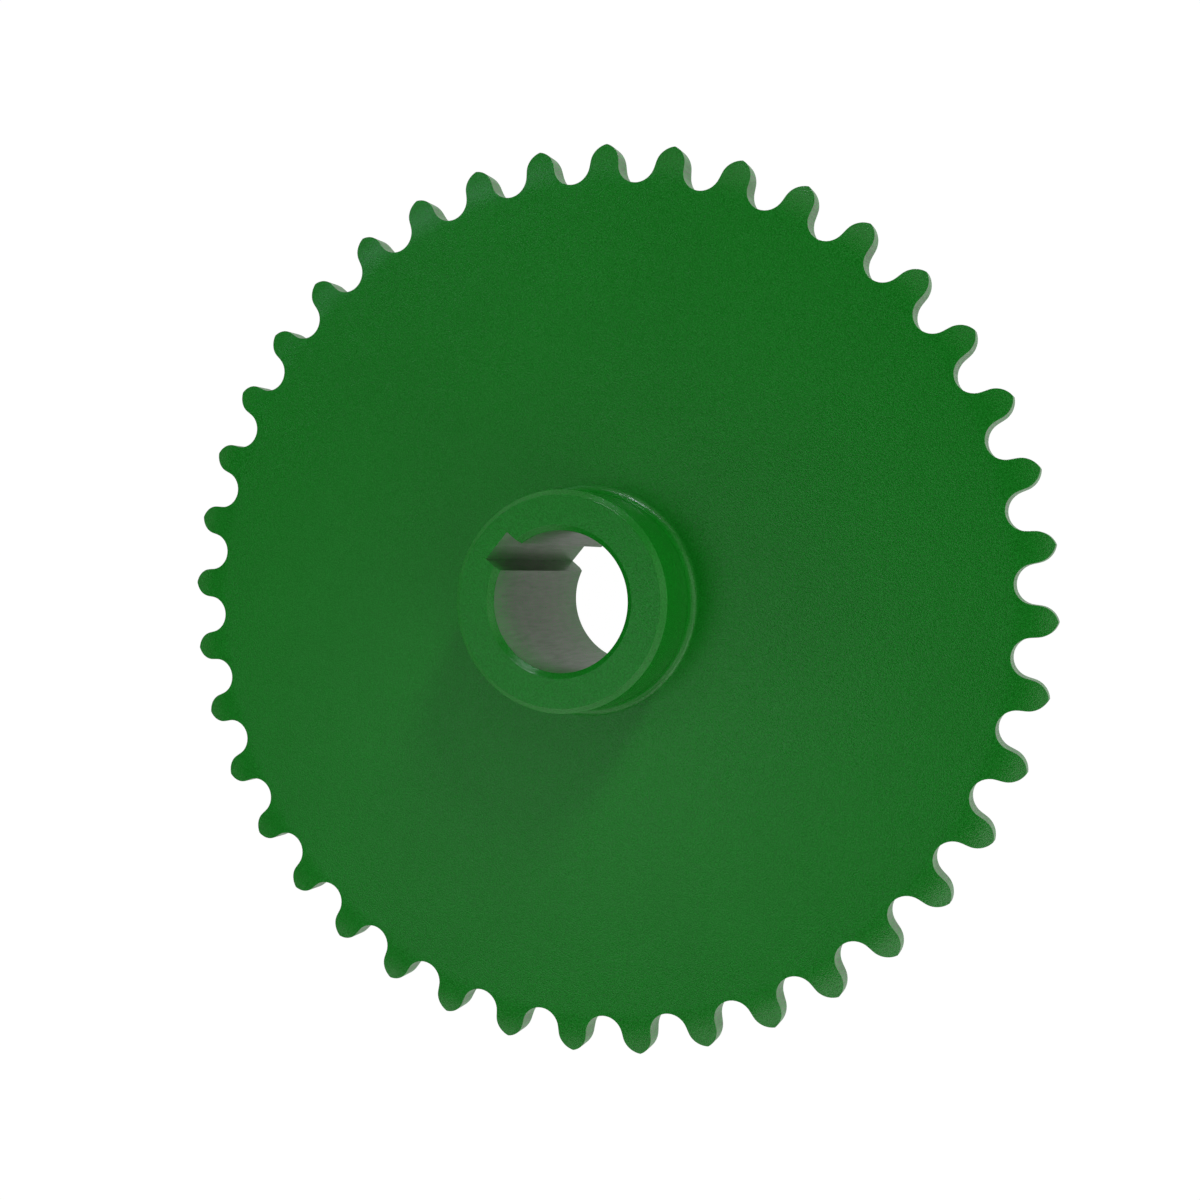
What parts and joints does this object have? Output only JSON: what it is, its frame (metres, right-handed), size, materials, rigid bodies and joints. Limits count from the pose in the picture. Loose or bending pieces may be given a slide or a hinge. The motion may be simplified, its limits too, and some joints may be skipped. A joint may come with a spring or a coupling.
{
  "type": "roller chain sprocket",
  "caption": "Flat toothed steel plate on a long round hub, with a chamfered bore and a keyway, painted but for its tooth edges and bore.",
  "frame": {"origin": "centre of the bore on the rear face of the hub, on which it lies", "axes": "+Z along the bore towards the hub's front face, +X from the axis to the middle of the keyway"},
  "size_m": [0.127, 0.127, 0.0341],
  "materials": {
    "painted_steel": "green powder coat with a fine texture on the faces and hub, bare machined steel on the tooth edges, the bore and the keyway"
  },
  "bodies": {
    "root": {"sprocket": "painted_steel"}
  },
  "joints": []
}
